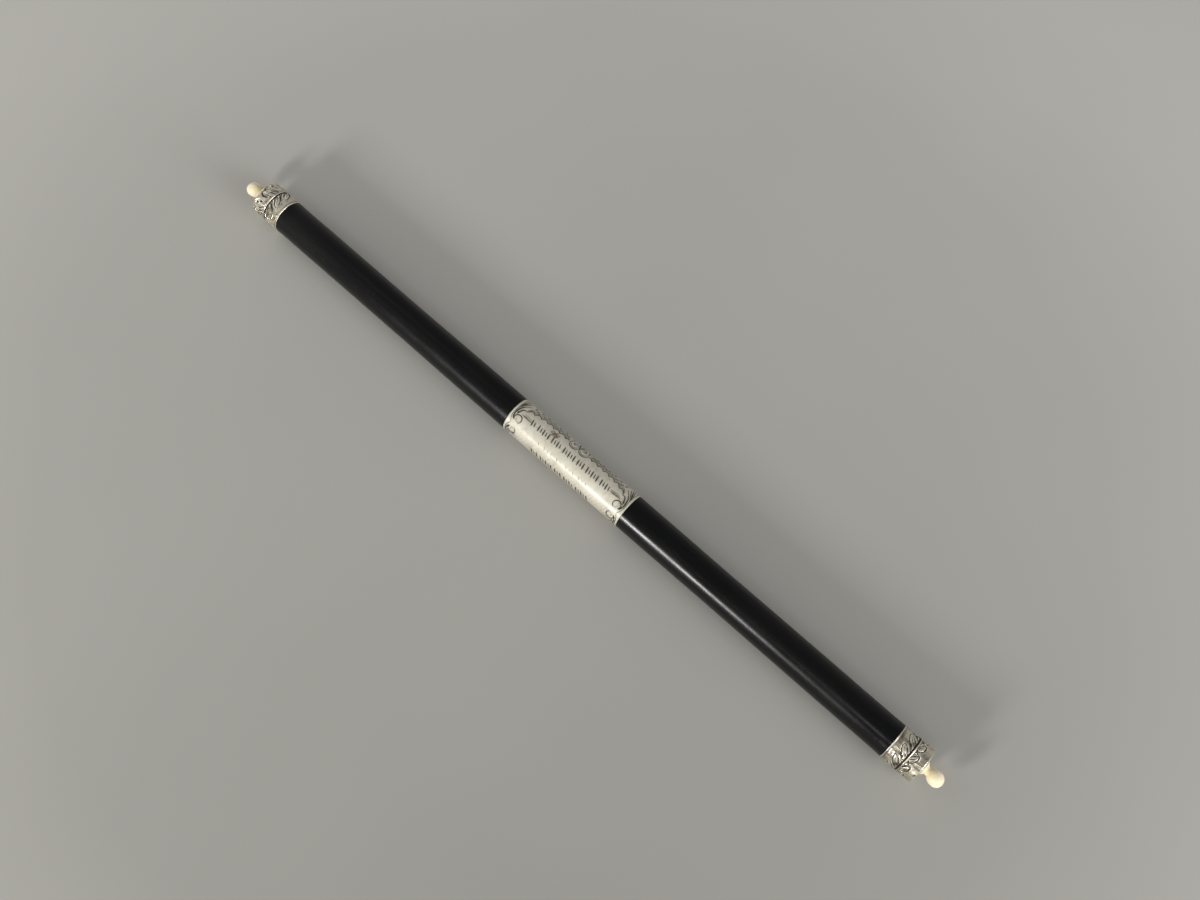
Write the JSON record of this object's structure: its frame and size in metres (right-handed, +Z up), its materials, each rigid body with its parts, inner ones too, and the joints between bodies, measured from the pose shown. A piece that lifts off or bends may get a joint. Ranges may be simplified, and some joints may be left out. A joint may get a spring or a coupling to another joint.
{
  "type": "conductor baton",
  "caption": "Straight ebony conductor's baton with an engraved silver sleeve at the middle, leaf-chased silver end mounts and turned ivory finials, lying on a small flat.",
  "frame": {"origin": "under the middle of the baton, on the surface that it lies on", "axes": "+X along the baton towards its right end, +Z up, -Y the front that the engraved cartouche leans towards"},
  "size_m": [0.45, 0.0184, 0.0183],
  "materials": {
    "ebony": "near-black ebony, hand-rubbed satin polish",
    "silver": "old polished silver, engraved and chased, dark tarnish in the recesses",
    "dark_ring": "dark brown-black, dull",
    "ivory": "turned ivory, cream going yellow, satin"
  },
  "bodies": {
    "root": {"rod": "ebony", "sleeve": "silver", "ferrule_left": "silver", "ferrule_right": "silver", "joint_ring_left": "dark_ring", "joint_ring_right": "dark_ring", "end_cap_left": "silver", "end_cap_right": "silver", "finial_left": "ivory", "finial_right": "ivory"}
  },
  "joints": []
}
